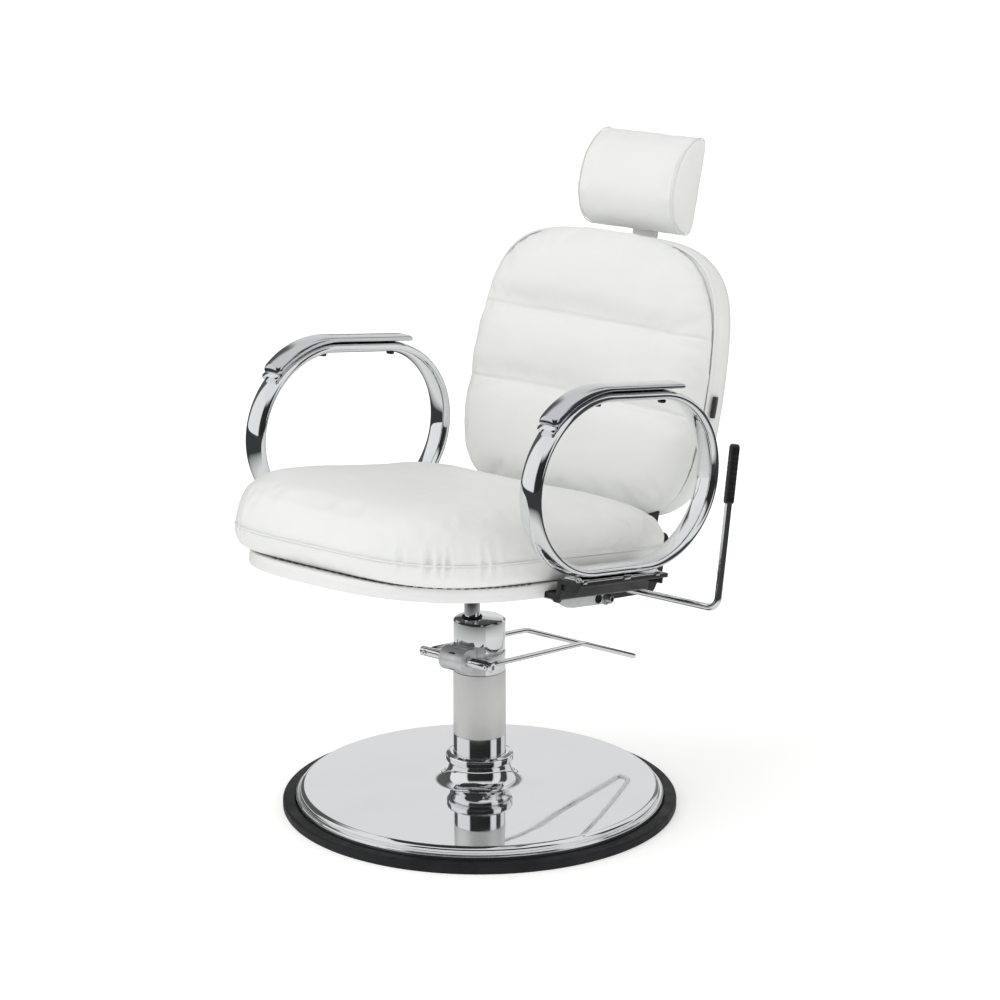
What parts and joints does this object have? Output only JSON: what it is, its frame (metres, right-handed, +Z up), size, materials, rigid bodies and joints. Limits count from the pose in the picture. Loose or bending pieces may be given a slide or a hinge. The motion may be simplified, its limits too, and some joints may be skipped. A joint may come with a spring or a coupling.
{
  "type": "hair salon styling chair",
  "caption": "Hydraulic salon chair: round floor base, foot-pumped column, swivelling tilted seat with loop arms, reclining back and a sliding headrest.",
  "frame": {"origin": "centre of the base's underside, on the floor", "axes": "+Z up, the sitter faces -Y, +X towards the sitter's left (the recline lever's side)"},
  "size_m": [0.7134, 0.8947, 1.0616],
  "materials": {
    "black_rubber": "matt moulded rubber",
    "cast_iron": "as cast, oiled",
    "chrome": "bright mirror plating",
    "satin_steel": "satin",
    "cast_alloy": "bead-blasted casting",
    "plain_steel": "plain machined",
    "grey_paint": "light grey, slightly glossy",
    "black_paint": "semi-gloss black",
    "black_plastic": "fine grained",
    "arm_pad_trim": "bright metallised moulding",
    "white_vinyl": "vinyl-coated upholstery cloth, satin",
    "white_shell": "ply board wrapped in white vinyl",
    "tag_cloth": "plain black woven tab"
  },
  "bodies": {
    "base": {"base_rubber_ring": "black_rubber", "base_plate": "cast_iron", "base_cover": "chrome", "escutcheon_ring": "chrome", "column_tube": "chrome", "column_lock_ring": "plain_steel", "column_sleeve": "satin_steel", "inner_cylinder": "plain_steel", "pump_head": "cast_alloy", "collar_cap": "chrome", "gland_seal": "black_rubber"},
    "lift": {"piston_rod": "chrome", "piston": "plain_steel"},
    "pedal": {"pump_shaft": "chrome", "pedal_set_screw_left": "chrome", "pedal_set_screw_right": "chrome", "pump_pedal": "chrome", "pump_rocker": "plain_steel"},
    "plunger": {"pump_plunger": "plain_steel", "plunger_spring": "plain_steel"},
    "seat": {"swivel_hub": "cast_iron", "hub_bolt_1": "plain_steel", "hub_bolt_2": "plain_steel", "hub_bolt_3": "plain_steel", "hub_bolt_4": "plain_steel", "cross_channel": "grey_paint", "channel_bolt": "plain_steel", "seat_board": "white_shell", "seat_cushion": "white_vinyl", "arm_bracket_left": "black_paint", "arm_bracket_right": "black_paint", "arm_strip_left": "chrome", "arm_strip_right": "chrome", "arm_loop_left": "chrome", "arm_loop_right": "chrome", "arm_pad_left": "arm_pad_trim", "arm_pad_right": "arm_pad_trim", "pad_screw_left_front": "plain_steel", "pad_screw_left_rear": "plain_steel", "pad_screw_right_front": "plain_steel", "pad_screw_right_rear": "plain_steel", "hinge_bracket_left": "black_paint", "hinge_bracket_right": "black_paint", "recline_axle": "plain_steel", "strut_pin": "plain_steel"},
    "strut": {"recline_cylinder": "black_paint"},
    "strut_rod": {"recline_rod": "chrome"},
    "lever": {"recline_lever": "chrome", "lever_grip": "black_plastic"},
    "back": {"back_cushion": "white_vinyl", "back_shell": "white_shell", "back_frame": "black_paint", "back_tag": "tag_cloth", "headrest_guide": "black_plastic"},
    "knob": {"headrest_knob": "black_plastic"},
    "headrest": {"headrest_bar": "satin_steel", "headrest_plate": "black_paint", "headrest_cushion": "white_vinyl"}
  },
  "joints": [
    {"name": "seat_lift", "type": "slide", "parent": "base", "child": "lift", "axis": [0, 0, 1], "range_m": [0, 0.15]},
    {"name": "seat_swivel", "type": "hinge", "parent": "lift", "child": "seat", "pos_m": [-0.012, -0.004, 0.36], "axis": [0, 0, 1], "continuous": true},
    {"name": "pump_pedal_press", "type": "hinge", "parent": "base", "child": "pedal", "pos_m": [0, -0.057, 0.2616], "axis": [-1, 0, 0], "range_deg": [0, 14], "stiffness_Nm_per_rad": 30, "springref_deg": -11.46},
    {"name": "plunger_stroke", "type": "slide", "parent": "base", "child": "plunger", "axis": [0, 0, -1], "range_m": [0, 0.0073], "deforming": ["plunger_spring"]},
    {"name": "back_recline", "type": "hinge", "parent": "seat", "child": "back", "pos_m": [0, 0.23203, 0.42497], "axis": [-1, 0, 0], "range_deg": [0, 35]},
    {"name": "strut_swing", "type": "hinge", "parent": "seat", "child": "strut", "pos_m": [0.1, 0.05294, 0.38672], "axis": [1, 0, 0], "range_deg": [0, 6.42]},
    {"name": "strut_stroke", "type": "slide", "parent": "strut", "child": "strut_rod", "axis": [0, -0.996, 0.0898], "range_m": [0, 0.0287]},
    {"name": "recline_release", "type": "hinge", "parent": "seat", "child": "lever", "pos_m": [0.28, 0.128, 0.37483], "axis": [-1, 0, 0], "range_deg": [0, 20], "stiffness_Nm_per_rad": 5, "springref_deg": -17.19},
    {"name": "headrest_height", "type": "slide", "parent": "back", "child": "headrest", "axis": [0, 0.2588, 0.9659], "range_m": [0, 0.1]},
    {"name": "headrest_clamp", "type": "hinge", "parent": "back", "child": "knob", "pos_m": [0, 0.42947, 0.75615], "axis": [0, 0.9659, -0.2588], "range_deg": [0, 180]}
  ],
  "couplings": [
    {"joint": "plunger_stroke", "follows": "pump_pedal_press", "m_per_rad": 0.0295},
    {"joint": "strut_swing", "follows": "back_recline", "ratio": 0.182},
    {"joint": "strut_stroke", "follows": "back_recline", "m_per_rad": 0.04671}
  ]
}
